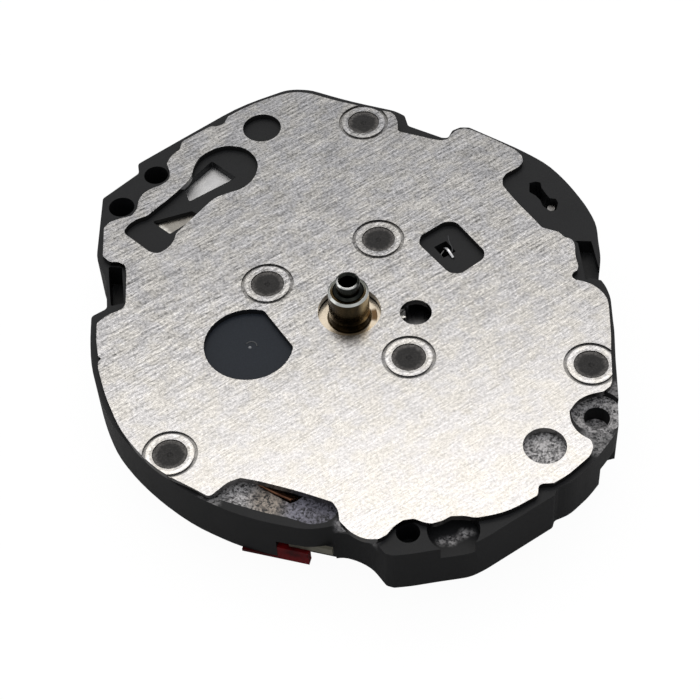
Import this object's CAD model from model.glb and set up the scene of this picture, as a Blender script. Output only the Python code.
import logging
import math
from dataclasses import dataclass, field
from enum import Enum
from typing import Any, Mapping, Sequence, Union

import bpy
from mathutils import Matrix, Vector


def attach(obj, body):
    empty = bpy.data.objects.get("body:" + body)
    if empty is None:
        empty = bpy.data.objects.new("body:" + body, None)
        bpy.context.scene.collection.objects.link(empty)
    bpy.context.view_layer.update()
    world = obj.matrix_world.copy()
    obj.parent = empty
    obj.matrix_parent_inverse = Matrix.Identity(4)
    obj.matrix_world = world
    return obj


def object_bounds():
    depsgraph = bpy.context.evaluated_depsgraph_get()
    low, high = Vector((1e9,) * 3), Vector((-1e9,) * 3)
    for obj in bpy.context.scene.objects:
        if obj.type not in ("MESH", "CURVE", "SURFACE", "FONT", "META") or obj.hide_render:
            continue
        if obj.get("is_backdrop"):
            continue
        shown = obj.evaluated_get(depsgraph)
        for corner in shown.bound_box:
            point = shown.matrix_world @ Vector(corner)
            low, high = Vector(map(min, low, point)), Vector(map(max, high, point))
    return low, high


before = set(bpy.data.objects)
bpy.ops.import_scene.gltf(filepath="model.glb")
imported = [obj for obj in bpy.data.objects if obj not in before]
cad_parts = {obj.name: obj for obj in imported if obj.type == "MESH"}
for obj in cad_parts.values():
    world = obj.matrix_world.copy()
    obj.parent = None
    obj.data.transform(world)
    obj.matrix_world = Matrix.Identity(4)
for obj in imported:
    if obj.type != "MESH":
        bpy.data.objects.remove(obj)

log = logging.getLogger("watch_movement")

MM = 0.001  # one millimetre in scene units
PHOTO_SIDE = 700  # the photograph's width and height in pixels
FAR = 9.0  # millimetres, past the reach of every mask that starts from a nearest spot

Number = Union[int, float]
Operand = Union["Value", int, float]
Pair = tuple[float, float]
Triple = tuple[float, float, float]
Colour = tuple[float, float, float]


class NodeKind(Enum):
    """Kinds of shader node that the finishes use."""

    OUTPUT = "ShaderNodeOutputMaterial"
    PRINCIPLED = "ShaderNodeBsdfPrincipled"
    DIFFUSE = "ShaderNodeBsdfDiffuse"
    EMISSION = "ShaderNodeEmission"
    MIX_SHADER = "ShaderNodeMixShader"
    COORDINATES = "ShaderNodeTexCoord"
    GEOMETRY = "ShaderNodeNewGeometry"
    LIGHT_PATH = "ShaderNodeLightPath"
    MAPPING = "ShaderNodeMapping"
    NOISE = "ShaderNodeTexNoise"
    VORONOI = "ShaderNodeTexVoronoi"
    BRICK = "ShaderNodeTexBrick"
    MATH = "ShaderNodeMath"
    VECTOR_MATH = "ShaderNodeVectorMath"
    MIX = "ShaderNodeMix"
    BUMP = "ShaderNodeBump"
    SEPARATE = "ShaderNodeSeparateXYZ"
    COMBINE = "ShaderNodeCombineXYZ"
    MAP_RANGE = "ShaderNodeMapRange"
    BACKGROUND = "ShaderNodeBackground"
    WORLD_OUTPUT = "ShaderNodeOutputWorld"


class Body(Enum):
    """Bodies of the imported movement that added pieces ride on."""

    FRAME = "frame"
    CANNON = "cannon_pinion"


class Slot(Enum):
    """Material slots of the record that added pieces belong to."""

    BLACK_POLYMER = "black_polymer"
    DARK_STEEL = "dark_steel"
    LEVER_STEEL = "lever_steel"
    COPPER = "copper"
    CELL_STEEL = "cell_steel"


@dataclass(frozen=True)
class Value:
    """An output socket of a node tree, with Python's operators on it."""

    graph: "Graph"
    socket: bpy.types.NodeSocket

    def _math(self, operation: str, first: Operand, second: Operand) -> "Value":
        """The result of one Math node."""
        node = self.graph.node(NodeKind.MATH, {"operation": operation}, {0: first, 1: second})
        return self.graph.value(node)

    def __add__(self, other: Operand) -> "Value":
        """Sum."""
        return self._math("ADD", self, other)

    def __radd__(self, other: Number) -> "Value":
        """Sum, number first."""
        return self._math("ADD", other, self)

    def __sub__(self, other: Operand) -> "Value":
        """Difference."""
        return self._math("SUBTRACT", self, other)

    def __rsub__(self, other: Number) -> "Value":
        """Difference, number first."""
        return self._math("SUBTRACT", other, self)

    def __mul__(self, other: Operand) -> "Value":
        """Product."""
        return self._math("MULTIPLY", self, other)

    def __rmul__(self, other: Number) -> "Value":
        """Product, number first."""
        return self._math("MULTIPLY", other, self)

    def __truediv__(self, other: Operand) -> "Value":
        """Quotient."""
        return self._math("DIVIDE", self, other)

    def __pow__(self, other: Operand) -> "Value":
        """Power."""
        return self._math("POWER", self, other)

    def largest(self, other: Operand) -> "Value":
        """The larger of two values."""
        return self._math("MAXIMUM", self, other)

    def smallest(self, other: Operand) -> "Value":
        """The smaller of two values."""
        return self._math("MINIMUM", self, other)

    def swing(self, width: float) -> "Value":
        """A value from 0 to 1 as a swing about zero of a full width."""
        return (self - 0.5) * width

    def between(self, low: float, high: float) -> "Value":
        """Smooth step from zero at one end to one at the other.

        Args:
            low: Value that becomes zero.
            high: Value that becomes one. It may lie below the other end.

        Returns:
            The stepped value, from 0 to 1.
        """
        node = self.graph.node(
            NodeKind.MAP_RANGE,
            {"interpolation_type": "SMOOTHSTEP", "clamp": True},
            {"Value": self, "From Min": low, "From Max": high, "To Min": 0.0, "To Max": 1.0},
        )
        return self.graph.value(node)


class Graph:
    """Node tree of one material or of the world, built from typed calls."""

    def __init__(self, tree: bpy.types.NodeTree) -> None:
        """Takes a tree and empties it."""
        self.tree = tree
        self.tree.nodes.clear()

    def node(
        self,
        kind: NodeKind,
        settings: Mapping[str, Any] | None = None,
        sockets: Mapping[Union[str, int], Any] | None = None,
    ) -> bpy.types.Node:
        """Adds any node.

        Args:
            kind: The node's type.
            settings: Its properties, which are set first.
            sockets: Values or links of its input sockets, by name or number.

        Returns:
            The new node.
        """
        made = self.tree.nodes.new(kind.value)
        for name, setting in (settings or {}).items():
            setattr(made, name, setting)
        for key, value in (sockets or {}).items():
            if isinstance(value, Value):
                self.tree.links.new(value.socket, made.inputs[key])
            else:
                made.inputs[key].default_value = value
        return made

    def value(self, node: bpy.types.Node, output: Union[str, int] = 0) -> Value:
        """One output of a node as a value."""
        return Value(self, node.outputs[output])

    def constant(self, number: float) -> Value:
        """The same number all over the surface."""
        return self.value(self.node(NodeKind.MATH, {"operation": "ADD"}, {0: number, 1: 0.0}))

    def place(self) -> Value:
        """The surface point in millimetres, in the movement's own frame, riding with its piece."""
        source = self.value(self.node(NodeKind.COORDINATES), "Object")
        scaled = self.node(NodeKind.VECTOR_MATH, {"operation": "SCALE"}, {0: source, "Scale": 1.0 / MM})
        return self.value(scaled)

    def parts(self, vector: Value) -> tuple[Value, Value, Value]:
        """The three numbers of a vector."""
        node = self.node(NodeKind.SEPARATE, None, {0: vector})
        return self.value(node, 0), self.value(node, 1), self.value(node, 2)

    def product(self, vector: Value, factors: "Value | Triple") -> Value:
        """Each number of a vector or colour times its own factor."""
        return self.value(self.node(NodeKind.VECTOR_MATH, {"operation": "MULTIPLY"}, {0: vector, 1: factors}))

    def turned(self, vector: Value, bearing: float, scale: Triple) -> Value:
        """Coordinates along and across a bearing in degrees from +X, each stretched by its factor."""
        spun = self.node(
            NodeKind.MAPPING,
            {"vector_type": "POINT"},
            {"Vector": vector, "Rotation": (0.0, 0.0, -math.radians(bearing))},
        )
        return self.product(self.value(spun), scale)

    def noise(self, vector: Value, scale: float, detail: float = 2.0, roughness: float = 0.5) -> Value:
        """Fractal noise from 0 to 1, with a number of cells per unit, octaves and the finer ones' weight."""
        sockets = {"Vector": vector, "Scale": scale, "Detail": detail, "Roughness": roughness}
        return self.value(self.node(NodeKind.NOISE, None, sockets))

    def cells(self, vector: Value, scale: float) -> Value:
        """Brightness of the cell that a point lies in, from 0 to 1."""
        node = self.node(NodeKind.VORONOI, None, {"Vector": vector, "Scale": scale})
        return self.parts(self.value(node, "Color"))[0]

    def distance_to(self, vector: Value, spot: Pair) -> Value:
        """Distance in plan from the surface point to a spot, in millimetres."""
        x, y, _z = self.parts(vector)
        return ((x - spot[0]) ** 2.0 + (y - spot[1]) ** 2.0) ** 0.5

    def nearest(self, vector: Value, patches: "Sequence[Patch]") -> Value:
        """Distance in plan to the middle of the nearest patch.

        Args:
            vector: Coordinates in millimetres.
            patches: The patches.

        Returns:
            The distance in millimetres, at most FAR.
        """
        least = self.constant(FAR)
        for patch in patches:
            least = least.smallest(self.distance_to(vector, patch.spot))
        return least

    def spotted(self, vector: Value, patches: "Sequence[Patch]", soft: float = 0.05) -> Value:
        """The strength of the round patch that a point lies in.

        Args:
            vector: Coordinates in millimetres.
            patches: The patches.
            soft: Half-width of their soft edges in millimetres.

        Returns:
            The strength, zero outside them all.
        """
        total = self.constant(0.0)
        for patch in patches:
            inside = self.distance_to(vector, patch.spot).between(patch.radius + soft, patch.radius - soft)
            total = total.largest(inside * patch.strength)
        return total

    def facing_up(self) -> Value:
        """One on faces that look out of the dial side, zero on walls."""
        _x, _y, z = self.parts(self.value(self.node(NodeKind.GEOMETRY), "True Normal"))
        return z.between(0.35, 0.75)

    def blend(self, factor: Operand, first: "Value | Colour", second: "Value | Colour") -> Value:
        """Colour between two colours: the first where the factor is 0, the second where it is 1."""
        low, high = (end if isinstance(end, Value) else (*end, 1.0) for end in (first, second))
        return self.value(self.node(NodeKind.MIX, {"data_type": "RGBA"}, {0: factor, 6: low, 7: high}), 2)

    def shaded(self, colour: Value, brightness: Value) -> Value:
        """A colour made lighter or darker by a factor that varies over the surface."""
        grey = self.node(NodeKind.COMBINE, None, {0: brightness, 1: brightness, 2: brightness})
        return self.product(colour, self.value(grey))

    def bump(self, height: Value, strength: float, depth_mm: float) -> Value:
        """Surface normal with a relief from 0 to 1 of this depth, of which a share shows."""
        sockets = {"Height": height, "Strength": strength, "Distance": depth_mm * MM}
        return self.value(self.node(NodeKind.BUMP, None, sockets))


def new_material(name: str) -> tuple[bpy.types.Material, Graph]:
    """An empty material with its node tree.

    Args:
        name: The material's name.

    Returns:
        The material and its graph.
    """
    material = bpy.data.materials.new(name)
    material.use_nodes = True
    return material, Graph(material.node_tree)


def band(distance: Value, low: float, high: float, soft: float) -> Value:
    """One where a distance lies between two limits, zero elsewhere, with soft edges."""
    return distance.between(low - soft, low + soft) * distance.between(high + soft, high - soft)


@dataclass(frozen=True)
class Patch:
    """A round spot of a surface, in millimetres."""

    x: float
    y: float
    radius: float
    strength: float = 1.0  # how strongly it shows, from 0 to 1

    @property
    def spot(self) -> Pair:
        """The patch's middle."""
        return self.x, self.y


@dataclass(frozen=True)
class Finish:
    """A procedural finish, named as its material, which each kind paints in its own way."""

    name: str

    def paint(self, graph: Graph, place: Value) -> dict[str, Any]:
        """What the surface shader is given.

        Args:
            graph: The material's node tree.
            place: The surface point in millimetres.

        Returns:
            Links and plain numbers by the name of the shader's socket.
        """
        raise NotImplementedError

    def build(self) -> bpy.types.Material:
        """Makes the material."""
        material, graph = new_material(self.name)
        shader = graph.node(NodeKind.PRINCIPLED, None, self.paint(graph, graph.place()))
        graph.node(NodeKind.OUTPUT, None, {"Surface": graph.value(shader)})
        return material


@dataclass(frozen=True)
class BrushedSteel(Finish):
    """Sheet steel with warm and cool patches, one direction of brushing, and coined rings round its posts."""

    warm: Colour = (0.620, 0.606, 0.585)
    cool: Colour = (0.592, 0.588, 0.600)
    bearing: float = 20.0  # of the brushing, in degrees from +X
    roughness: float = 0.24
    contrast: float = 2.0
    calm: Pair = (2.0, -5.5)  # levels of Y between which the brushing is worn by handling
    calm_share: float = 0.55  # of the contrast, lost there
    posts: tuple[Patch, ...] = ()
    groove: Pair = (0.69, 0.79)  # least and greatest radius round a post, as in the next two
    rim: Pair = (0.56, 0.65)
    seat: Pair = (0.40, 0.58)
    wall_share: float = 0.28  # brightness of the sheet's cut edge beside its face

    def paint(self, graph: Graph, place: Value) -> dict[str, Any]:
        """Bands, streaks and scratches along the brushing, with the rings over them.

        Args:
            graph: The material's node tree.
            place: The surface point.

        Returns:
            What the shader is given.
        """
        bands = graph.noise(graph.turned(place, self.bearing, (0.22, 2.6, 1.0)), 1.0, 3.0, 0.6)
        streaks = graph.noise(graph.turned(place, self.bearing, (0.8, 11.5, 1.0)), 1.0, 3.0, 0.65)
        scratches = graph.noise(graph.turned(place, self.bearing, (2.6, 24.0, 1.0)), 1.0, 2.0, 0.6)
        mottle = graph.noise(place, 1.6, 3.0, 0.6)
        speckle = graph.noise(place, 12.0, 2.0, 0.75)
        face = graph.facing_up()
        _x, y, _z = graph.parts(place)
        grain = bands.swing(0.20) + streaks.swing(0.78) + scratches.swing(0.75) + speckle.swing(1.20)
        grain = grain * self.contrast * (1.0 - y.between(*self.calm) * self.calm_share) * face
        brightness = (grain + 1.0) * (face * (1.0 - self.wall_share) + self.wall_share)
        groove, rim, seat = self._rings(graph, place)
        worn = graph.noise(place, 5.0, 3.0, 0.7).between(0.35, 0.65)
        brightness = brightness * (1.0 - groove * 0.55) * (rim * worn * 0.40 + 1.0)
        brightness = brightness * (1.0 - seat * worn * 0.35)
        tone = graph.blend(mottle.between(0.38, 0.62), self.cool, self.warm)
        return {
            "Base Color": graph.shaded(tone, brightness),
            "Roughness": streaks.swing(0.22) + mottle.swing(0.08) + self.roughness + groove * 0.12,
            "Normal": graph.bump((streaks * 0.5 + scratches * 0.3 + speckle * 0.2) * face, 0.22, 0.010),
            "Metallic": 1.0,
        }

    def _rings(self, graph: Graph, place: Value) -> tuple[Value, Value, Value]:
        """Masks of the coined groove, the bright rim inside it and the seat next to the post.

        Args:
            graph: The material's node tree.
            place: The surface point.

        Returns:
            The three masks, from 0 to 1.
        """
        nearest = graph.nearest(place, self.posts)
        ragged = nearest + graph.noise(place, 6.0, 2.0).swing(0.10)
        groove = band(nearest, *self.groove, 0.02)
        return groove, band(ragged, *self.rim, 0.03), band(ragged, *self.seat, 0.03)


@dataclass(frozen=True)
class MouldedPolymer(Finish):
    """Black moulded plastic: satin faces, sparkling eroded grain in its recesses, and pressed post heads."""

    colour: Colour = (0.0120, 0.0125, 0.0135)
    bluish_colour: Colour = (0.0155, 0.0195, 0.0265)
    facet: Colour = (0.98, 0.96, 0.97)  # bright facets of the grain
    brown_facet: Colour = (0.66, 0.55, 0.44)
    cold_facet: Colour = (0.60, 0.59, 0.74)
    pit: Colour = (0.06, 0.06, 0.064)  # pits between the facets
    head_middle: tuple[Colour, Colour] = ((0.026, 0.025, 0.025), (0.046, 0.044, 0.043))
    head_edge: tuple[Colour, Colour] = ((0.070, 0.066, 0.063), (0.200, 0.190, 0.182))
    head_step: Pair = (0.33, 0.46)  # radii between which a head's middle gives way to its edge
    grained: tuple[Patch, ...] = ()  # spots whose recessed floor is grained
    frosted: tuple[Patch, ...] = ()  # spots whose upper face is grained
    scuffed: tuple[Patch, ...] = ()  # spots whose upper edges are grained
    browned: tuple[Patch, ...] = ()
    chilled: tuple[Patch, ...] = ()
    bluish: tuple[Patch, ...] = ()
    heads: tuple[Patch, ...] = ()
    deck: float = -0.20  # level of the satin deck
    roughness: float = 0.46

    def paint(self, graph: Graph, place: Value) -> dict[str, Any]:
        """Satin skin, with grain in its spots and the post heads on top.

        Args:
            graph: The material's node tree.
            place: The surface point.

        Returns:
            What the shader is given.
        """
        skin = graph.noise(place, 26.0, 3.0, 0.6)
        coarse = graph.cells(place, 15.0)
        fine = graph.cells(place, 24.0)
        sparks = graph.noise(place, 20.0, 3.0, 0.75)
        flat = graph.facing_up()
        _x, _y, height = graph.parts(place)
        sunk = graph.spotted(place, self.grained, 0.12) * height.between(self.deck - 0.03, self.deck - 0.06)
        edges = graph.spotted(place, self.scuffed, 0.15) * height.between(self.deck - 0.42, self.deck - 0.18)
        grain = (sunk.largest(graph.spotted(place, self.frosted, 0.12)) * flat).largest(edges)
        cloud = graph.noise(place, 1.3, 3.0, 0.6)
        tone = graph.blend(cloud, self.colour, tuple(1.35 * part for part in self.colour))
        tone = graph.blend(graph.spotted(place, self.bluish), tone, self.bluish_colour)
        satin = graph.shaded(tone, (skin + 0.5) * (flat * 0.75 + 0.70))
        tint = graph.blend(graph.spotted(place, self.browned, 0.25), self.facet, self.brown_facet)
        tint = graph.blend(graph.spotted(place, self.chilled, 0.25), tint, self.cold_facet)
        glitter = (coarse * 0.45 + fine * 0.35 + sparks * 0.40).between(0.24, 0.90)
        base = graph.blend(grain, satin, graph.blend(glitter, self.pit, tint))
        base = graph.blend(graph.spotted(place, self.heads) * flat, base, self._head(graph, place, sparks))
        relief = skin * 0.25 + grain * (coarse * 0.5 + fine * 0.4 + sparks * 0.6)
        return {
            "Base Color": base,
            "Roughness": skin.swing(0.20) + self.roughness - grain * 0.08,
            "Normal": graph.bump(relief, 0.55, 0.022),
            "Specular IOR Level": 0.22,
        }

    def _head(self, graph: Graph, place: Value, sparks: Value) -> Value:
        """Colour of the pressed post heads: dark in the middle, paler and ragged at the edge.

        Args:
            graph: The material's node tree.
            place: The surface point.
            sparks: Noise of the grain, which mottles the heads too.

        Returns:
            The colour.
        """
        ragged = graph.nearest(place, self.heads) + graph.noise(place, 7.0, 3.0, 0.7).swing(0.22)
        paler = graph.blend(sparks.between(0.40, 0.62), *self.head_edge)
        darker = graph.blend(sparks.between(0.45, 0.62), *self.head_middle)
        return graph.blend(ragged.between(*self.head_step), darker, paler)


@dataclass(frozen=True)
class TurnedMetal(Finish):
    """Metal turned or plated, with darker stains and fine rings about an upright axis."""

    colour: Colour
    stain: Colour
    axis: Pair = (0.0, 0.0)
    roughness: float = 0.28
    ring_scale: float = 22.0  # rings per millimetre

    def paint(self, graph: Graph, place: Value) -> dict[str, Any]:
        """Rings by radius and height, over faint stains.

        Args:
            graph: The material's node tree.
            place: The surface point.

        Returns:
            What the shader is given.
        """
        _x, _y, height = graph.parts(place)
        out = graph.distance_to(place, self.axis) * self.ring_scale
        wobble = graph.noise(place, 3.0, 2.0)
        rings_at = graph.node(NodeKind.COMBINE, None, {0: out, 1: height * self.ring_scale, 2: wobble})
        rings = graph.noise(graph.value(rings_at), 1.0, 3.0, 0.7)
        patches = graph.noise(place, 2.2, 4.0, 0.6)
        tone = graph.blend(patches.between(0.40, 0.68), self.colour, self.stain)
        return {
            "Base Color": graph.shaded(tone, rings.swing(0.35) + 1.0),
            "Roughness": rings.swing(0.22) + patches.swing(0.12) + self.roughness,
            "Normal": graph.bump(rings, 0.25, 0.008),
            "Metallic": 1.0,
        }


@dataclass(frozen=True)
class Zone:
    """A stretch of a turned piece with its own colour, between two radii and two levels in millimetres."""

    colour: Colour
    inner: float
    outer: float
    low: float
    high: float
    side: float = 0.0  # bearing of its middle in degrees from +X
    reach: float = 180.0  # how far it runs to each side of that bearing

    def mask(self, graph: Graph, place: Value) -> Value:
        """Where the zone lies, with soft and slightly ragged edges.

        Args:
            graph: The material's node tree.
            place: The surface point.

        Returns:
            One inside the zone, zero outside it.
        """
        x, y, height = graph.parts(place)
        radius = graph.distance_to(place, (0.0, 0.0))
        edge = graph.noise(place, 9.0, 2.0).swing(0.02)
        inside = band(radius + edge, self.inner, self.outer, 0.008) * band(height, self.low, self.high, 0.006)
        if self.reach >= 180.0:
            return inside
        toward = math.radians(self.side)
        facing = (x * math.cos(toward) + y * math.sin(toward)) / radius.largest(0.01)
        soft = min(0.35 * self.reach, 25.0)
        low, high = (math.cos(math.radians(self.reach + shift)) for shift in (soft, -soft))
        return inside * facing.between(low, high)


@dataclass(frozen=True)
class TubeMetal(Finish):
    """Turned tube about the hand axis, with darker streaks, and zones such as a bright rim."""

    colour: Colour
    stain: Colour
    zones: tuple[Zone, ...] = ()  # later ones on top
    roughness: float = 0.20

    def paint(self, graph: Graph, place: Value) -> dict[str, Any]:
        """Rings by height over upright streaks, with the zones on top.

        Args:
            graph: The material's node tree.
            place: The surface point.

        Returns:
            What the shader is given.
        """
        rings = graph.noise(graph.turned(place, 0.0, (1.5, 1.5, 26.0)), 1.0, 3.0, 0.7)
        streaks = graph.noise(graph.turned(place, 0.0, (3.5, 3.5, 1.5)), 1.0, 3.0, 0.60)
        tone = graph.blend(streaks.between(0.36, 0.66), self.stain, self.colour)
        for zone in self.zones:
            tone = graph.blend(zone.mask(graph, place), tone, zone.colour)
        return {
            "Base Color": graph.shaded(tone, rings.swing(0.30) + 1.0),
            "Roughness": rings.swing(0.16) + streaks.swing(0.10) + self.roughness,
            "Normal": graph.bump(rings, 0.20, 0.006),
            "Metallic": 1.0,
        }


@dataclass(frozen=True)
class StampedMetal(Finish):
    """Pressed sheet metal with a faint rolled grain and scattered wear."""

    colour: Colour
    worn: Colour  # of its rubbed patches
    roughness: float = 0.33
    metallic: float = 1.0
    gleams: tuple[Patch, ...] = ()  # spots that are polished bright
    gleam: Colour = (0.93, 0.91, 0.86)
    grain: float = 1.0  # strength of the rolled grain

    def paint(self, graph: Graph, place: Value) -> dict[str, Any]:
        """Rolled grain with small pits, rubbed patches and the gleams.

        Args:
            graph: The material's node tree.
            place: The surface point.

        Returns:
            What the shader is given.
        """
        rolled = graph.noise(graph.turned(place, 90.0, (0.8, 14.0, 3.0)), 1.0, 3.0, 0.6)
        wear = graph.noise(place, 2.6, 4.0, 0.65)
        pits = graph.noise(place, 30.0, 2.0, 0.6)
        tone = graph.blend(wear.between(0.42, 0.66), self.colour, self.worn)
        tone = graph.blend(graph.spotted(place, self.gleams, 0.08), tone, self.gleam)
        return {
            "Base Color": graph.shaded(tone, rolled.swing(0.30 * self.grain) + 1.0),
            "Roughness": rolled.swing(0.20) + wear.swing(0.15) + self.roughness,
            "Normal": graph.bump(rolled * 0.7 + pits * 0.3, 0.25 * self.grain, 0.008),
            "Metallic": self.metallic,
        }


@dataclass(frozen=True)
class PlainPolymer(Finish):
    """Moulded or cast plastic, rubber or film with a fine skin."""

    colour: Colour
    shade: Colour  # of its deeper patches
    roughness: float = 0.5
    relief_mm: float = 0.010
    coat: float = 0.0  # weight of a clear gloss
    sheen: float = 0.4  # strength of its plain reflection
    dark: tuple[Patch, ...] = ()  # spots in shade

    def paint(self, graph: Graph, place: Value) -> dict[str, Any]:
        """A fine skin over clouds of the deeper colour.

        Args:
            graph: The material's node tree.
            place: The surface point.

        Returns:
            What the shader is given.
        """
        cloud = graph.noise(place, 1.8, 3.0, 0.6).between(0.35, 0.65)
        skin = graph.noise(place, 24.0, 3.0, 0.6)
        tone = graph.blend(cloud.largest(graph.spotted(place, self.dark, 0.3)), self.colour, self.shade)
        return {
            "Base Color": graph.shaded(tone, skin.swing(0.4) + 1.0),
            "Roughness": skin.swing(0.25) + self.roughness,
            "Normal": graph.bump(skin, 0.4, self.relief_mm),
            "Specular IOR Level": self.sheen,
            "Coat Weight": self.coat,
            "Coat Roughness": 0.12,
        }


@dataclass(frozen=True)
class WoundWire(Finish):
    """Lacquered copper wire laid side by side on a straight core."""

    bearing: float  # of the core, in degrees from +X
    turns_per_mm: float = 16.0
    colour: Colour = (0.62, 0.24, 0.10)
    stain: Colour = (0.40, 0.13, 0.055)

    def paint(self, graph: Graph, place: Value) -> dict[str, Any]:
        """One wave of brightness and relief for each turn, with a slight drift.

        Args:
            graph: The material's node tree.
            place: The surface point.

        Returns:
            What the shader is given.
        """
        along, across, height = graph.parts(graph.turned(place, self.bearing, (1.0, 1.0, 1.0)))
        drift = graph.noise(place, 1.5, 2.0) * 0.05
        phase = (along + drift + across * 0.012 + height * 0.02) * (2.0 * math.pi * self.turns_per_mm)
        turn = graph.value(graph.node(NodeKind.MATH, {"operation": "SINE"}, {0: phase})) * 0.5 + 0.5
        patches = graph.noise(place, 2.5, 4.0, 0.6)
        tone = graph.blend(patches.between(0.38, 0.65), self.colour, self.stain)
        return {
            "Base Color": graph.shaded(tone, turn * 0.55 + 0.50),
            "Roughness": patches * 0.2 + 0.22,
            "Normal": graph.bump(turn, 0.8, 0.02),
            "Metallic": 0.85,
            "Coat Weight": 0.3,
            "Coat Roughness": 0.15,
        }


@dataclass(frozen=True)
class PrintedBoard(Finish):
    """Green resist over glass cloth, with its copper tracks showing through."""

    bearing: float = 24.0  # of the tracks, in degrees from +X
    track_length: float = 2.3
    track_pitch: float = 0.62
    track_gap: float = 0.09
    bare: Colour = (0.012, 0.050, 0.026)  # between the tracks
    covered: Colour = (0.030, 0.120, 0.055)  # over them

    def paint(self, graph: Graph, place: Value) -> dict[str, Any]:
        """Tracks in staggered rows under the resist, with the cloth's weave.

        Args:
            graph: The material's node tree.
            place: The surface point.

        Returns:
            What the shader is given.
        """
        tracks = graph.node(
            NodeKind.BRICK,
            {"offset": 0.5, "squash": 1.0},
            {
                "Vector": graph.turned(place, self.bearing, (1.0, 1.0, 0.0)),
                "Color1": (1.0, 1.0, 1.0, 1.0),
                "Color2": (0.8, 0.8, 0.8, 1.0),
                "Mortar": (0.0, 0.0, 0.0, 1.0),
                "Scale": 1.0,
                "Mortar Size": self.track_gap,
                "Mortar Smooth": 0.1,
                "Brick Width": self.track_length,
                "Row Height": self.track_pitch,
            },
        )
        shade, _green, _blue = graph.parts(graph.value(tracks))
        weave = graph.noise(graph.turned(place, self.bearing, (9.0, 9.0, 9.0)), 1.0, 2.0)
        return {
            "Base Color": graph.shaded(graph.blend(shade, self.bare, self.covered), weave * 0.5 + 0.75),
            "Roughness": weave * 0.15 + 0.25,
            "Normal": graph.bump(shade * 0.8 + weave * 0.2, 0.6, 0.02),
            "Coat Weight": 0.35,
            "Coat Roughness": 0.15,
        }


@dataclass
class Dresser:
    """Gives the movement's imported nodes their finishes, and keeps the names of those that have one."""

    nodes: Mapping[str, bpy.types.Object]
    dressed: list[str] = field(default_factory=list)

    def dress(self, finish: Finish, *names: str) -> bpy.types.Material:
        """Puts one finish on every slot of some nodes.

        Args:
            finish: The finish.
            names: The nodes' names.

        Returns:
            The finish's material.
        """
        material = finish.build()
        for name in names:
            slots = self.nodes[name].material_slots
            if not slots:
                self.nodes[name].data.materials.append(material)
            for slot in slots:
                slot.material = material
            self.dressed.append(name)
            log.info("dressed %s in %s", name, material.name)
        return material


def new_mesh(
    name: str, points: Sequence[Vector], faces: Sequence[Sequence[int]], smooth: bool
) -> bpy.types.Object:
    """A mesh object from points in millimetres.

    Args:
        name: The piece's name.
        points: Corner points in millimetres.
        faces: Corner numbers of each face.
        smooth: Whether its faces shade smoothly.

    Returns:
        The new object.
    """
    mesh = bpy.data.meshes.new(name)
    mesh.from_pydata([tuple(point * MM) for point in points], [], [tuple(face) for face in faces])
    mesh.polygons.foreach_set("use_smooth", [smooth] * len(mesh.polygons))
    mesh.update()
    piece = bpy.data.objects.new(name, mesh)
    bpy.context.scene.collection.objects.link(piece)
    return piece


def settle(
    piece: bpy.types.Object, material: bpy.types.Material, body: Body = Body.FRAME
) -> None:
    """Gives an added piece its finish and its body.

    Args:
        piece: The added piece.
        material: Its finish.
        body: The body that it rides on.
    """
    piece.data.materials.clear()
    piece.data.materials.append(material)
    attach(piece, body.value)
    log.info("added %s on %s", piece.name, body.value)


@dataclass(frozen=True)
class Wire:
    """A round wire that bends past a row of points, in millimetres."""

    name: str
    points: Sequence[Triple]
    radius: float

    def build(self) -> bpy.types.Object:
        """Makes the wire."""
        path = bpy.data.curves.new(self.name, "CURVE")
        path.dimensions = "3D"
        path.bevel_depth = self.radius * MM
        path.bevel_resolution = 3
        path.resolution_u = 8
        path.use_fill_caps = True
        spline = path.splines.new("NURBS")
        spline.points.add(len(self.points) - 1)
        for control, point in zip(spline.points, self.points):
            control.co = (*(part * MM for part in point), 1.0)
        spline.order_u = 3
        spline.use_endpoint_u = True
        bent = bpy.data.objects.new(self.name, path)
        piece = bpy.data.objects.new(self.name, bpy.data.meshes.new_from_object(bent))
        bpy.data.objects.remove(bent)
        bpy.context.scene.collection.objects.link(piece)
        piece.data.polygons.foreach_set("use_smooth", [True] * len(piece.data.polygons))
        return piece


@dataclass(frozen=True)
class Blob:
    """A rounded drop, in millimetres."""

    name: str
    centre: Triple
    width: float  # radius seen from above
    height: float  # radius along the hand axis
    rows: int = 9
    sides: int = 16

    def build(self) -> bpy.types.Object:
        """Makes the drop."""
        points: list[Vector] = []
        faces: list[Sequence[int]] = []
        for row in range(self.rows + 1):
            tilt = math.pi * row / self.rows
            for side in range(self.sides):
                turn = 2.0 * math.pi * side / self.sides
                level = Vector((math.cos(turn), math.sin(turn), 0.0)) * (self.width * math.sin(tilt))
                points.append(Vector(self.centre) + level + Vector((0.0, 0.0, self.height * math.cos(tilt))))
                if row < self.rows:
                    upper, lower, after = row * self.sides, (row + 1) * self.sides, (side + 1) % self.sides
                    faces.append((upper + side, lower + side, lower + after, upper + after))
        return new_mesh(self.name, points, faces, True)


@dataclass
class Assembly:
    """A sub-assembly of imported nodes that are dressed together."""

    dresser: Dresser

    def build(self) -> None:
        """Dresses the pieces."""
        raise NotImplementedError


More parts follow.
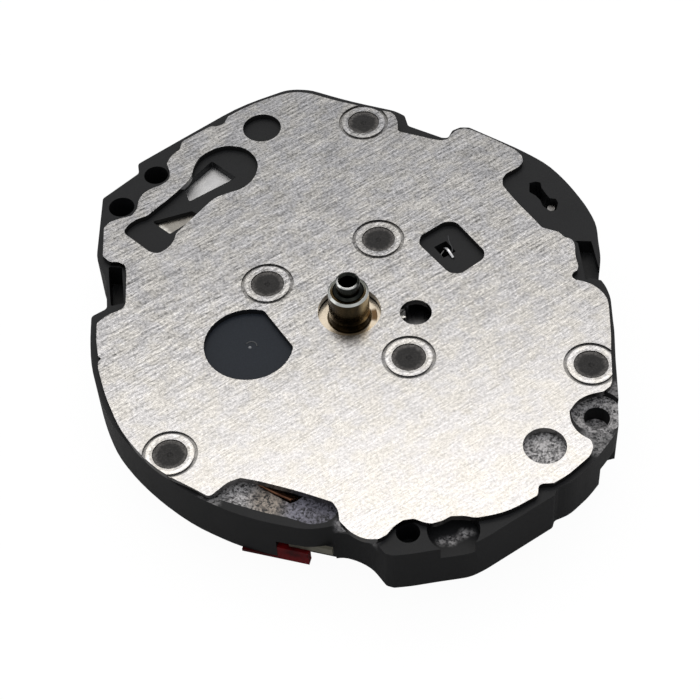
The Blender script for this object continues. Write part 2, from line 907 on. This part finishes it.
@dataclass
class DialSide(Assembly):
    """Bright steel plate, and black moulded plate with its post heads and the spots of its grain."""

    post_radius: float = 0.52
    posts: tuple[Pair, ...] = (
        (2.45, 7.42), (-2.07, 1.72), (1.57, 2.47), (1.19, -2.16), (6.09, -3.91), (-6.11, -3.53),
    )
    grained: tuple[Patch, ...] = (
        Patch(-4.85, -5.05, 0.75, 0.95), Patch(-4.15, -5.45, 0.75, 0.85), Patch(-3.45, -5.95, 0.70, 0.60),
        Patch(-2.75, -6.35, 0.72, 0.50), Patch(-2.10, -6.55, 0.60, 0.55), Patch(3.92, -6.23, 0.75, 1.00),
        Patch(5.76, -5.41, 0.95, 0.65), Patch(0.42, -8.00, 0.10, 0.60), Patch(0.66, -8.06, 0.12, 0.65),
        Patch(0.88, -8.02, 0.08, 0.45), Patch(1.08, -7.93, 0.12, 0.70), Patch(1.26, -7.96, 0.08, 0.45),
    )
    frosted: tuple[Patch, ...] = (
        Patch(-1.60, -7.45, 0.42, 0.35), Patch(5.45, -6.35, 0.50, 0.35), Patch(-5.35, -5.20, 0.30, 0.30),
        Patch(6.55, -5.00, 0.45, 0.30),
    )
    scuffed: tuple[Patch, ...] = (
        Patch(-2.05, -7.03, 0.20, 0.70), Patch(-1.72, -7.27, 0.20, 0.65), Patch(-1.40, -7.65, 0.16, 0.40),
    )
    browned: tuple[Patch, ...] = (Patch(-3.75, -5.55, 0.55, 0.8),)
    chilled: tuple[Patch, ...] = (Patch(-2.70, -6.20, 0.80, 0.9),)
    bluish: tuple[Patch, ...] = (Patch(-3.12, -0.36, 1.50),)

    def build(self) -> None:
        """Dresses the two plates."""
        heads = tuple(Patch(x, y, self.post_radius) for x, y in self.posts)
        grain = {"grained": self.grained, "frosted": self.frosted, "scuffed": self.scuffed}
        casts = {"browned": self.browned, "chilled": self.chilled, "bluish": self.bluish}
        polymer = MouldedPolymer("black_moulded_polymer", **grain, **casts, heads=heads)
        self.dresser.dress(BrushedSteel("brushed_plate_steel", posts=heads), "dial_side_plate")
        self.dresser.dress(polymer, "main_plate")


@dataclass
class HandWork(Assembly):
    """Hour wheel with its pipe, cannon pinion with its rolled lip, minute wheel and setting wheel."""

    pipe_colours: tuple[Colour, Colour] = ((0.092, 0.064, 0.030), (0.050, 0.037, 0.018))
    hour_zones: tuple[Zone, ...] = (
        Zone((0.80, 0.61, 0.33), 0.50, 0.70, 0.0, 0.90, -22.0, 42.0),
        Zone((0.80, 0.70, 0.56), 0.66, 3.0, -1.0, 0.02),
        Zone((0.97, 0.95, 0.90), 1.28, 3.0, -1.0, 0.02),
        Zone((0.16, 0.10, 0.05), 0.66, 0.82, -1.0, 0.02, -12.0, 16.0),
        Zone((0.86, 0.88, 0.84), 0.53, 0.70, 0.868, 1.0),
        Zone((0.20, 0.21, 0.19), 0.45, 0.70, 0.868, 1.0, 70.0, 75.0),
    )
    tube_colours: tuple[Colour, Colour] = ((0.040, 0.043, 0.037), (0.018, 0.020, 0.018))
    tube_zones: tuple[Zone, ...] = (Zone((0.95, 0.96, 0.93), 0.20, 0.34, 1.315, 1.40, -130.0, 72.0),)
    lip_r: float = 0.300
    lip_wire: float = 0.026  # radius of the lip's round section
    lip_level: float = 1.352
    lip_steps: int = 24

    def build(self) -> None:
        """Dresses the pieces and adds the lip."""
        dress = self.dresser.dress
        dress(TubeMetal("darkened_bronze", *self.pipe_colours, self.hour_zones, 0.22), "hour_wheel")
        steel = TubeMetal("blackened_steel", *self.tube_colours, self.tube_zones, 0.18)
        turns = [2.0 * math.pi * step / self.lip_steps for step in range(self.lip_steps + 1)]
        lip = [(self.lip_r * math.cos(turn), self.lip_r * math.sin(turn), self.lip_level) for turn in turns]
        ring = Wire("cannon_lip", lip, self.lip_wire).build()
        settle(ring, dress(steel, "cannon_pinion"), Body.CANNON)
        dress(StampedMetal("grey_gear_metal", (0.27, 0.27, 0.28), (0.15, 0.15, 0.15), 0.30), "minute_wheel")
        dress(PlainPolymer("dark_nylon", (0.020, 0.020, 0.022), (0.030, 0.029, 0.030), 0.42), "setting_wheel")


@dataclass
class GoingTrain(Assembly):
    """Wheels and pinions from the rotor to the hands, and their bridge."""

    def build(self) -> None:
        """Dresses the pieces."""
        gilt = StampedMetal("gilt_brass", (0.78, 0.56, 0.24), (0.66, 0.44, 0.17), 0.30)
        steel = StampedMetal("pinion_steel", (0.42, 0.41, 0.40), (0.30, 0.29, 0.28), 0.22)
        bridge = PlainPolymer("bridge_polymer", (0.024, 0.025, 0.028), (0.016, 0.016, 0.018), 0.45, 0.014)
        dress = self.dresser.dress
        dress(gilt, "centre_wheel", "third_wheel", "intermediate_wheel")
        dress(steel, "third_pinion", "intermediate_pinion")
        dress(bridge, "train_bridge")


@dataclass
class SteppingMotor(Assembly):
    """Rotor, stator, coil and what holds and shields the coil."""

    coil_bearing: float = -33.1  # of the core, in degrees from +X
    tongue: tuple[Patch, ...] = (Patch(-4.50, -5.95, 0.75),)  # shaded spot of the spacer
    spacer_colours: tuple[Colour, Colour] = ((0.150, 0.004, 0.006), (0.045, 0.002, 0.003))

    def build(self) -> None:
        """Dresses the pieces."""
        iron = StampedMetal("annealed_iron", (0.50, 0.49, 0.47), (0.40, 0.39, 0.38), 0.42)
        pins = StampedMetal("rivet_steel", (0.36, 0.35, 0.34), (0.26, 0.25, 0.25), 0.28)
        magnet = StampedMetal("sintered_magnet", (0.16, 0.155, 0.16), (0.11, 0.105, 0.11), 0.50, 0.7)
        bushes = TurnedMetal("bush_bronze", (0.52, 0.36, 0.17), (0.40, 0.26, 0.12), roughness=0.30)
        cheeks = PlainPolymer("cheek_polymer", (0.045, 0.044, 0.042), (0.032, 0.031, 0.030), 0.5)
        guard = PlainPolymer("olive_film", (0.190, 0.180, 0.140), (0.085, 0.080, 0.065), 0.38, 0.006)
        spacer = PlainPolymer("red_polymer", *self.spacer_colours, 0.40, 0.012, 0.0, 0.12, self.tongue)
        dress = self.dresser.dress
        dress(iron, "stator", "coil_core")
        dress(pins, "coil_pins", "rotor_pinion")
        dress(magnet, "rotor_magnet")
        dress(bushes, "rotor_bushes")
        dress(WoundWire("lacquered_copper_wire", self.coil_bearing), "coil_winding")
        dress(cheeks, "coil_flanges")
        dress(guard, "coil_guard")
        dress(spacer, "insulator_spacer")


@dataclass
class KeylessWork(Assembly):
    """Clutch, levers, their cover plate and their pins."""

    def build(self) -> None:
        """Dresses the pieces."""
        bright = StampedMetal("bright_lever_steel", (0.34, 0.335, 0.33), (0.22, 0.215, 0.21), 0.27)
        dull = StampedMetal("cover_plate_steel", (0.56, 0.55, 0.53), (0.46, 0.45, 0.44), 0.36)
        pins = StampedMetal("lever_pin_steel", (0.52, 0.51, 0.49), (0.38, 0.37, 0.36), 0.25)
        dress = self.dresser.dress
        dress(bright, "setting_lever", "yoke", "stop_lever")
        dress(dull, "keyless_plate")
        dress(pins, "lever_pins", "clutch_wheel")


@dataclass
class PowerSupply(Assembly):
    """Button cell, its seal and its two contacts."""

    cell_axis: Pair = (-1.50, 4.60)
    can_colours: tuple[Colour, Colour] = ((0.70, 0.69, 0.67), (0.60, 0.59, 0.57))
    strip_colours: tuple[Colour, Colour] = ((0.42, 0.40, 0.365), (0.34, 0.325, 0.30))
    strip_ends: tuple[Patch, ...] = (
        Patch(-4.66, 5.24, 0.10), Patch(-4.58, 5.06, 0.10), Patch(-4.50, 4.88, 0.10),
    )

    def build(self) -> None:
        """Dresses the pieces."""
        can = TurnedMetal("nickel_plated_can", *self.can_colours, self.cell_axis, 0.26, 9.0)
        cap = TurnedMetal("cell_cap", (0.70, 0.705, 0.72), (0.63, 0.635, 0.65), self.cell_axis, 0.48, 6.0)
        seal = PlainPolymer("seal_nylon", (0.06, 0.06, 0.065), (0.04, 0.04, 0.045), 0.45)
        strip = StampedMetal("contact_strip", *self.strip_colours, 0.30, gleams=self.strip_ends, grain=0.15)
        dress = self.dresser.dress
        dress(can, "battery_can")
        dress(cap, "battery_cap")
        dress(seal, "battery_gasket")
        dress(strip, "negative_strip", "positive_clip")


@dataclass
class Electronics(Assembly):
    """Circuit board, sealed chip and quartz crystal."""

    def build(self) -> None:
        """Dresses the pieces."""
        resin = PlainPolymer("chip_resin", (0.010, 0.010, 0.011), (0.016, 0.016, 0.017), 0.18, 0.006, 0.4)
        can = StampedMetal("crystal_can", (0.70, 0.69, 0.66), (0.58, 0.57, 0.55), 0.28)
        leads = StampedMetal("tinned_wire", (0.66, 0.65, 0.63), (0.52, 0.51, 0.50), 0.34)
        dress = self.dresser.dress
        dress(PrintedBoard("green_circuit_board"), "circuit_board")
        dress(resin, "timing_chip")
        dress(can, "quartz_can")
        dress(leads, "quartz_leads")


@dataclass
class BackSide(Assembly):
    """Back cover and its screws."""

    def build(self) -> None:
        """Dresses the pieces."""
        cover = BrushedSteel("brushed_cover_steel", (0.64, 0.62, 0.58), (0.56, 0.56, 0.57), 62.0, 0.34, 0.45)
        screws = StampedMetal("screw_steel", (0.40, 0.39, 0.38), (0.27, 0.26, 0.26), 0.24)
        dress = self.dresser.dress
        dress(cover, "back_cover")
        dress(screws, "cover_screws")


@dataclass
class FineWork:
    """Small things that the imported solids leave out: spring, gate mark, coil leads and their solder."""

    dial_face: float = -0.20  # level of the black plate's face on the dial side
    hook: tuple[Triple, ...] = (
        (3.33, 1.83, -0.60), (3.38, 1.74, -0.26), (3.47, 1.58, -0.11), (3.51, 1.40, -0.13),
        (3.56, 1.24, -0.19),
    )
    hook_r: float = 0.055
    tail: tuple[Pair, ...] = (
        (3.67, 2.14), (3.64, 1.98), (3.63, 1.80), (3.66, 1.66), (3.61, 1.50), (3.54, 1.40),
    )
    tail_r: float = 0.020
    gate_at: Pair = (-3.05, -0.30)
    gate_r: float = 0.17
    gate_line_r: float = 0.022
    gate_bearings: tuple[float, ...] = (-20.0, 5.0, 30.0, 55.0, 80.0, 105.0, 130.0)
    nib_shift: Pair = (-0.045, -0.035)  # from the gate mark's middle
    nib_r: float = 0.050
    nib_height: float = 0.030
    lead_route: tuple[Pair, ...] = ((-4.06, -4.78), (-3.66, -5.28), (-3.19, -5.70))
    lead_aside: Pair = (0.78, 0.62)  # direction from one lead to the next
    lead_step: float = 0.09  # by which each next lead lies lower
    lead_r: float = 0.042
    lead_count: int = 4
    slot_floor: float = -0.45
    coil_ends: tuple[Pair, ...] = ((-5.62, -3.28), (-1.013, -6.284))
    coil_centre: Pair = (-3.316, -4.782)
    solder_level: float = -2.19
    solder_r: float = 0.19
    solder_height: float = 0.11
    foot_level: float = -2.27  # where a winding end meets its pin
    end_run: tuple[Pair, ...] = ((0.0, 0.0), (0.3, -0.16), (0.62, -0.27))  # inward, and up from the foot

    def build(self) -> None:
        """Adds the pieces."""
        polished = StampedMetal("polished_spring_steel", (0.86, 0.86, 0.87), (0.66, 0.66, 0.67), 0.16)
        dull = PlainPolymer("moulded_line", (0.085, 0.088, 0.094), (0.060, 0.062, 0.066), 0.40).build()
        lacquered = StampedMetal("lead_wire_copper", (0.36, 0.17, 0.095), (0.17, 0.075, 0.045), 0.34, 0.8)
        solder = StampedMetal("solder_tin", (0.68, 0.68, 0.69), (0.50, 0.50, 0.51), 0.30)
        copper = lacquered.build()
        self._sight_spring(polished.build(), dull)
        self._gate_mark(dull)
        self._leads(copper)
        self._solder(solder.build(), copper)

    def _sight_spring(self, polished: bpy.types.Material, dull: bpy.types.Material) -> None:
        """The spring end that looks out of the square sight, and its thin tail on the deck.

        Args:
            polished: Finish of the spring.
            dull: Finish of the tail.
        """
        settle(Wire("sight_spring", self.hook, self.hook_r).build(), polished)
        tail = tuple((x, y, self.dial_face) for x, y in self.tail)
        settle(Wire("sight_spring_tail", tail, self.tail_r).build(), dull)

    def _gate_mark(self, dull: bpy.types.Material) -> None:
        """The moulding's gate mark in the D window: a small arc with a torn nib beside it.

        Args:
            dull: Finish of the arc.
        """
        torn = PlainPolymer("torn_polymer", (0.30, 0.31, 0.33), (0.20, 0.21, 0.22), 0.45).build()
        middle = Vector((*self.gate_at, self.dial_face))
        turns = [math.radians(bearing) for bearing in self.gate_bearings]
        arc = [tuple(middle + Vector((math.cos(turn), math.sin(turn), 0.0)) * self.gate_r) for turn in turns]
        settle(Wire("gate_mark_arc", arc, self.gate_line_r).build(), dull)
        nib = tuple(middle + Vector((*self.nib_shift, 0.0)))
        settle(Blob("gate_mark_nib", nib, self.nib_r, self.nib_height).build(), torn)

    def _leads(self, copper: bpy.types.Material) -> None:
        """Flat bundle of coil leads in the opening of the coil's slot.

        Args:
            copper: Finish of the wires.
        """
        aside = Vector((*self.lead_aside, 0.0)) * (2.0 * self.lead_r)
        for number in range(self.lead_count):
            level = self.slot_floor + self.lead_r - self.lead_step * number
            points = [tuple(Vector((x, y, level)) + aside * number) for x, y in self.lead_route]
            settle(Wire(f"coil_lead_{number}", points, self.lead_r).build(), copper)

    def _solder(self, solder: bpy.types.Material, copper: bpy.types.Material) -> None:
        """Solder on the coil's two end pins, each with the winding's end led to it.

        Args:
            solder: Finish of the drops.
            copper: Finish of the wires.
        """
        for name, pin in zip(("left", "right"), self.coil_ends):
            drop = Blob(f"solder_{name}", (*pin, self.solder_level), self.solder_r, self.solder_height)
            settle(drop.build(), solder)
            foot = Vector((*pin, self.foot_level))
            inward = (Vector((*self.coil_centre, self.foot_level)) - foot).normalized()
            run = [tuple(foot + inward * along + Vector((0.0, 0.0, rise))) for along, rise in self.end_run]
            settle(Wire(f"winding_end_{name}", run, self.lead_r).build(), copper)


@dataclass(frozen=True)
class Softbox:
    """A rectangular soft light that points at the movement, placed and sized in millimetres."""

    name: str
    place: Triple
    size: Pair
    glow: float  # brightness of its face, where 1 is white
    colour: Colour = (1.0, 1.0, 1.0)

    def build(self) -> None:
        """Makes the light."""
        lamp = bpy.data.lights.new(self.name, "AREA")
        lamp.color = self.colour
        lamp.shape = "RECTANGLE"
        lamp.size, lamp.size_y = (side * MM for side in self.size)
        lamp.energy = self.glow * math.pi * lamp.size * lamp.size_y
        holder = bpy.data.objects.new(self.name, lamp)
        bpy.context.scene.collection.objects.link(holder)
        holder.location = Vector(self.place) * MM
        holder.rotation_euler = Vector(self.place).to_track_quat("Z", "Y").to_euler()


@dataclass
class Studio:
    """Pale floor, soft lights and the camera at the photograph's angle."""

    floor_level: float
    camera_place: Triple = (-7.278, -33.744, 41.716)
    camera_back: Triple = (-0.12913, -0.60750, 0.78376)
    camera_right: Triple = (0.97815, -0.20791, 0.0)
    camera_roll: float = -3.768  # degrees
    focal_pixels: float = 1844.4
    centre_offset: float = 1.56  # pixels that the optical centre lies left of the picture's middle
    sensor: float = 36.0
    far_clip: float = 10.0  # scene units
    floor_side: float = 4000.0
    floor_grey: Colour = (0.50, 0.50, 0.50)
    floor_glow: float = 1.14
    glow_share: float = 0.84  # of the glow, in what the camera sees of the floor
    sky_low: Colour = (0.385, 0.388, 0.394)
    sky_high: Colour = (0.68, 0.68, 0.69)
    sky_step: Pair = (0.55, 0.98)  # heights between which the sky brightens
    softboxes: tuple[Softbox, ...] = (
        Softbox("overhead_softbox", (12.0, 107.0, 240.0), (240.0, 116.0), 1.44, (1.0, 0.950, 0.875)),
        Softbox("left_softbox", (-240.0, 40.0, 120.0), (140.0, 120.0), 0.5),
        Softbox("front_fill", (80.0, -240.0, 130.0), (160.0, 100.0), 0.15),
    )

    def build(self) -> None:
        """Makes the floor, the world, the lights and the camera."""
        self._floor()
        self._world()
        for softbox in self.softboxes:
            softbox.build()
        self._camera()
        bpy.context.scene.view_settings.view_transform = "Standard"

    def _floor(self) -> None:
        """A plain pale floor that the camera sees almost white, with the object's shadow on it."""
        half = self.floor_side / 2.0
        sides = ((-half, -half), (half, -half), (half, half), (-half, half))
        corners = [Vector((x, y, self.floor_level)) for x, y in sides]
        floor = new_mesh("studio_floor", corners, [(0, 1, 2, 3)], False)
        material, graph = new_material("studio_floor_paint")
        paint = graph.value(graph.node(NodeKind.DIFFUSE, None, {"Color": (*self.floor_grey, 1.0)}))
        white = {"Color": (1.0, 1.0, 1.0, 1.0), "Strength": self.floor_glow}
        glow = graph.value(graph.node(NodeKind.EMISSION, None, white))
        seen = graph.value(graph.node(NodeKind.LIGHT_PATH), "Is Camera Ray")
        mixed = graph.node(NodeKind.MIX_SHADER, None, {0: seen * self.glow_share, 1: paint, 2: glow})
        graph.node(NodeKind.OUTPUT, None, {"Surface": graph.value(mixed)})
        floor.data.materials.append(material)
        floor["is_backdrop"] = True

    def _world(self) -> None:
        """Soft surroundings: white for the camera, and a dimmer sky that brightens overhead."""
        world = bpy.data.worlds.new("studio_world")
        bpy.context.scene.world = world
        world.use_nodes = True
        graph = Graph(world.node_tree)
        source = graph.node(NodeKind.COORDINATES)
        _x, _y, height = graph.parts(graph.value(source, "Generated"))
        sky = graph.blend(height.between(*self.sky_step), self.sky_low, self.sky_high)
        seen = graph.value(graph.node(NodeKind.LIGHT_PATH), "Is Camera Ray")
        colour = graph.blend(seen, sky, (1.0, 1.0, 1.0))
        background = graph.node(NodeKind.BACKGROUND, None, {"Color": colour, "Strength": 1.0})
        graph.node(NodeKind.WORLD_OUTPUT, None, {"Surface": graph.value(background)})

    def _camera(self) -> None:
        """The camera where the photograph was taken from."""
        back = Vector(self.camera_back).normalized()
        level = Vector(self.camera_right)
        level = (level - back * level.dot(back)).normalized()
        rise = back.cross(level)
        roll = math.radians(self.camera_roll)
        right = level * math.cos(roll) + rise * math.sin(roll)
        up = rise * math.cos(roll) - level * math.sin(roll)
        lens = bpy.data.cameras.new("photo_camera")
        lens.sensor_width = self.sensor
        lens.lens = self.sensor * self.focal_pixels / PHOTO_SIDE
        lens.shift_x = self.centre_offset / PHOTO_SIDE
        lens.clip_start = MM
        lens.clip_end = self.far_clip
        holder = bpy.data.objects.new("photo_camera", lens)
        bpy.context.scene.collection.objects.link(holder)
        turned = Matrix((right, up, back)).transposed().to_4x4()
        holder.matrix_world = Matrix.Translation(Vector(self.camera_place) * MM) @ turned
        bpy.context.scene.camera = holder


def plain_box(box: tuple[Vector, Vector]) -> list[list[float]]:
    """A box as plain lists of numbers."""
    return [[float(part) for part in corner] for corner in box]


def main() -> None:
    """Builds every sub-assembly in order, then the studio."""
    cad_box = plain_box(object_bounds())
    dresser = Dresser(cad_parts)
    for assembly in (
        DialSide, HandWork, GoingTrain, SteppingMotor, KeylessWork, PowerSupply, Electronics, BackSide
    ):
        assembly(dresser).build()
    FineWork().build()
    bare = sorted(set(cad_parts) - set(dresser.dressed))
    if bare:
        raise ValueError(f"nodes without a finish: {bare}")
    Studio(floor_level=cad_box[0][2] / MM).build()


if __name__ == "__main__":
    logging.basicConfig(level=logging.INFO)
    main()
